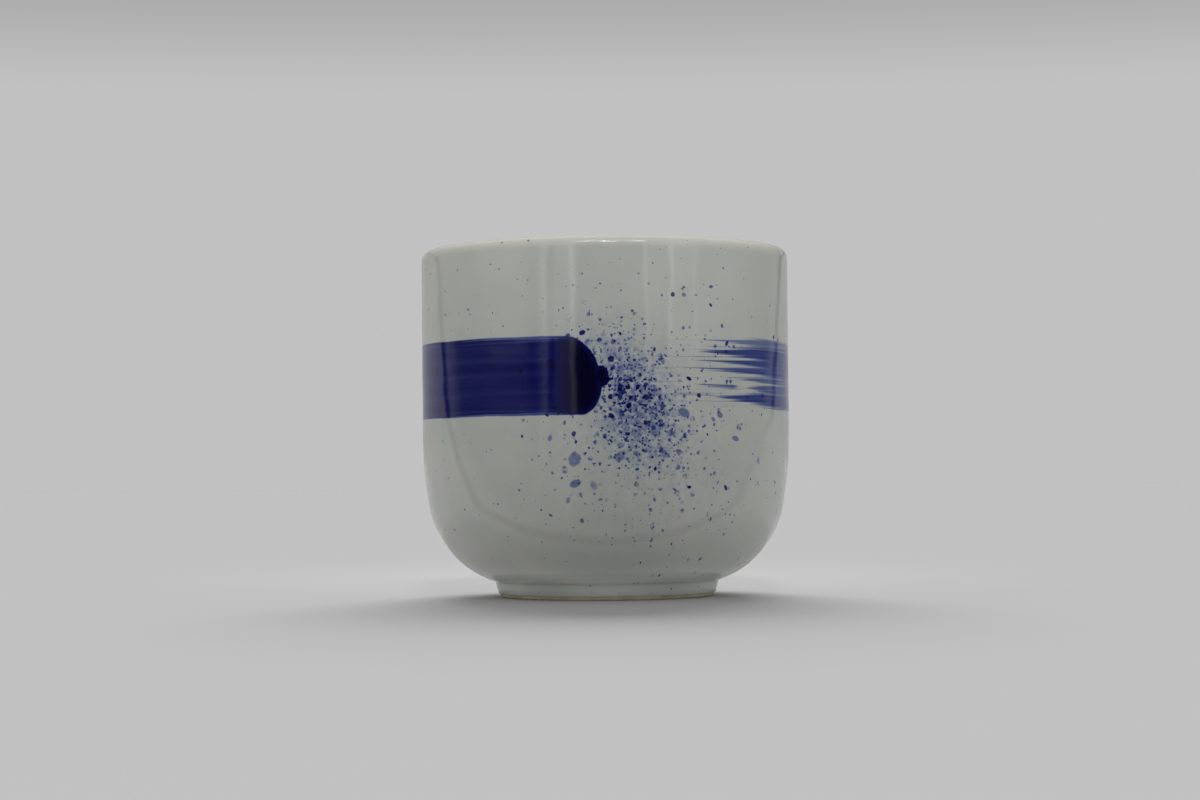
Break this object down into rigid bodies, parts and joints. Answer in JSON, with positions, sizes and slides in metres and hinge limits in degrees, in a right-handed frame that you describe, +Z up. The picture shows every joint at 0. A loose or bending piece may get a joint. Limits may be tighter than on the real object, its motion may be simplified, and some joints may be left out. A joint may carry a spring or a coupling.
{
  "type": "teacup",
  "caption": "Handleless porcelain teacup with a straight wall, rounded base and foot ring, glazed, with a cobalt brush stroke round the wall and spatter beside its head.",
  "frame": {"origin": "on the cup's axis, on the plane of the foot's bearing edge", "axes": "+Z up along the cup's axis, -Y towards the front, where the head of the brush stroke lies"},
  "size_m": [0.0802, 0.0802, 0.0753],
  "materials": {
    "porcelain": "fired porcelain biscuit, hidden under the glaze",
    "bare_porcelain": "bare porcelain, smooth and matt, toasted to cream at the foot",
    "slip": "fired slip, hidden under the glaze",
    "liner_glaze": "glossy pale grey-green glaze",
    "outer_glaze": "glossy pale grey-green glaze with soft ripples and pinholes",
    "cobalt": "glossy dark cobalt fired into the glaze",
    "dry_cobalt": "glossy streaky cobalt fired into the glaze",
    "cobalt_wash": "glossy thin wash of cobalt fired into the glaze"
  },
  "bodies": {
    "root": {"cup_body": "porcelain", "foot_ring": "bare_porcelain", "luting_slip": "slip", "liner_glaze": "liner_glaze", "outer_glaze": "outer_glaze", "base_glaze": "outer_glaze", "brush_band": "cobalt", "dry_brush_streaks": "dry_cobalt", "spatter_drops": "cobalt", "wash_drops": "cobalt_wash"}
  },
  "joints": []
}
